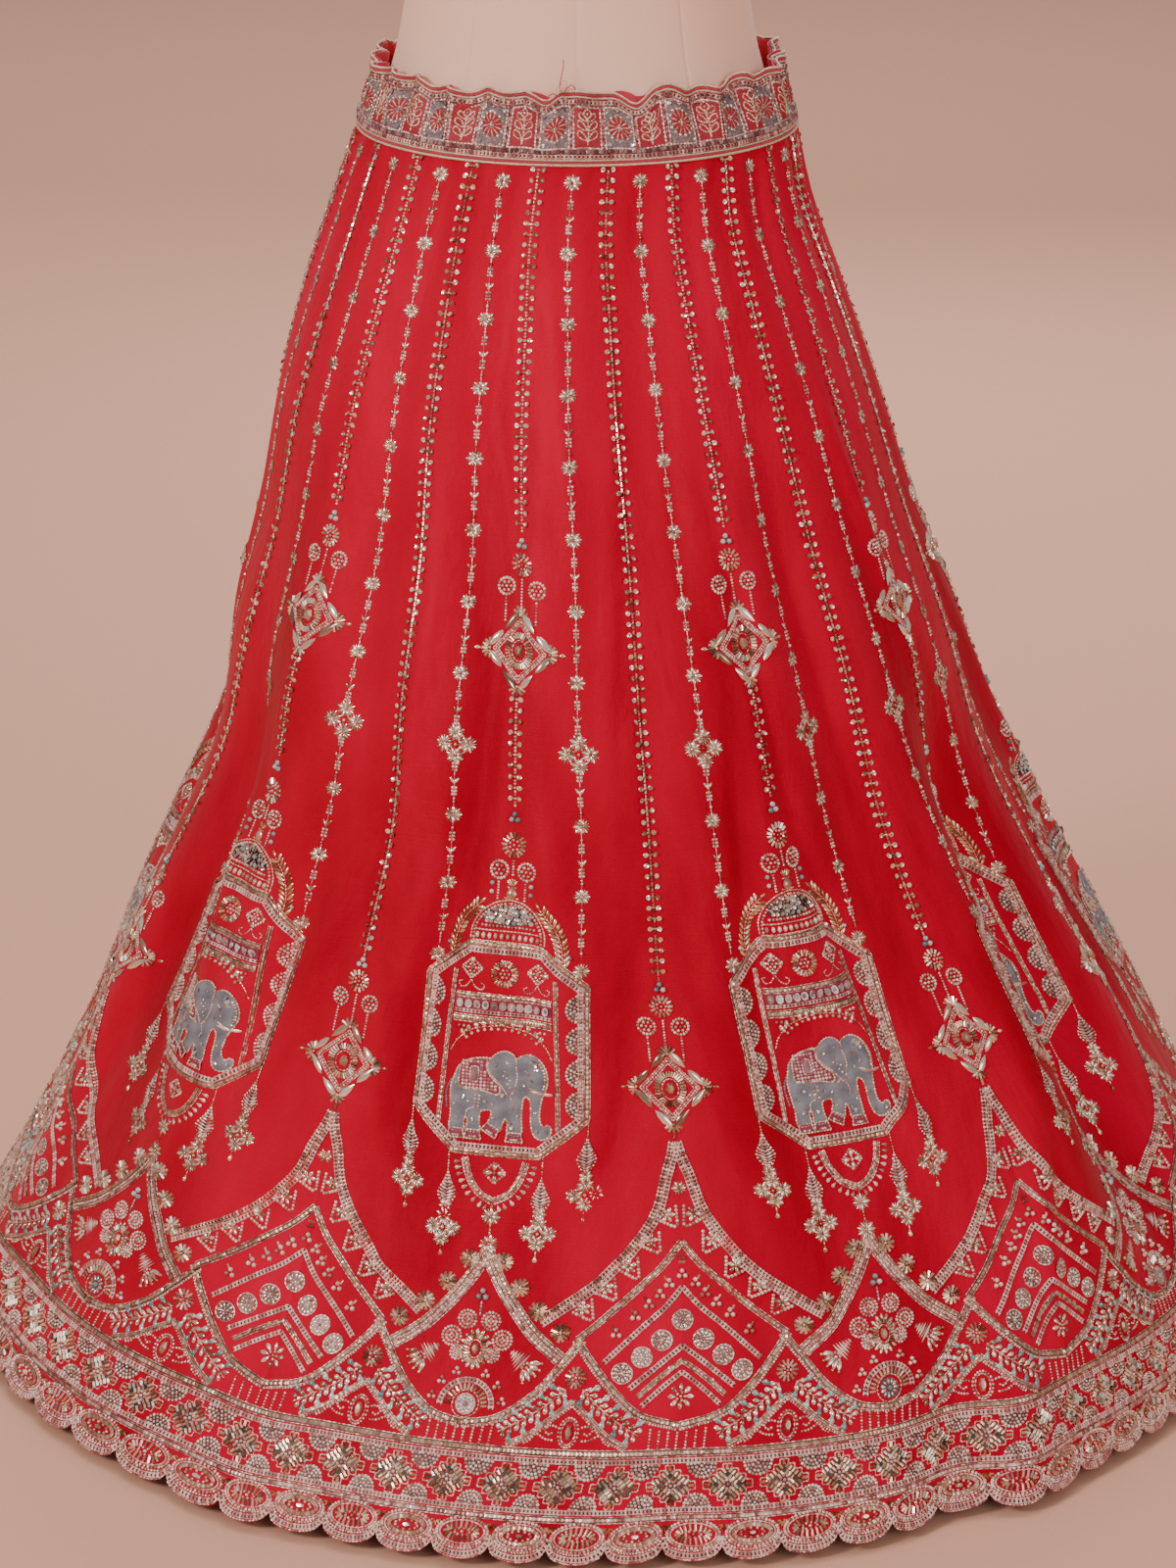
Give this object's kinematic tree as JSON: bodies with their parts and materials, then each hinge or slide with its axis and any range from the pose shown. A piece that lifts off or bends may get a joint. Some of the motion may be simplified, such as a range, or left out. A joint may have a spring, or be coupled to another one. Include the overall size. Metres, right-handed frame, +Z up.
{
  "type": "lehenga skirt on a limbless dress form",
  "caption": "Floor-length flared skirt of seamed gores with a scalloped hem and a ruffled waistband, worn by a dress form on a pole and round base.",
  "frame": {"origin": "middle of the flat underside of the dress form's round base, on the floor", "axes": "+Z up along the form's pole; -Y is the skirt's front; +X is on the right of someone who looks at the front"},
  "size_m": [1.0461, 1.0759, 1.5663],
  "materials": {
    "red_silk": "satin-faced red silk with bead, sequin and metal-thread embroidery",
    "embroidered_band": "embroidered patchwork of mauve-grey and red squares with gold thread",
    "crimson_facing": "plain crimson silk",
    "form_cloth": "matt beige jersey over a padded form",
    "cap_wood": "varnished turned wood",
    "pole_steel": "polished steel tube",
    "base_paint": "black enamel on cast iron"
  },
  "bodies": {
    "root": {"kali_01": "red_silk", "kali_02": "red_silk", "kali_03": "red_silk", "kali_04": "red_silk", "kali_05": "red_silk", "kali_06": "red_silk", "kali_07": "red_silk", "kali_08": "red_silk", "kali_09": "red_silk", "kali_10": "red_silk", "waistband": "embroidered_band", "waistband_facing": "crimson_facing", "form_torso": "form_cloth", "form_cap": "cap_wood", "form_pole": "pole_steel", "form_base": "base_paint"}
  },
  "joints": []
}
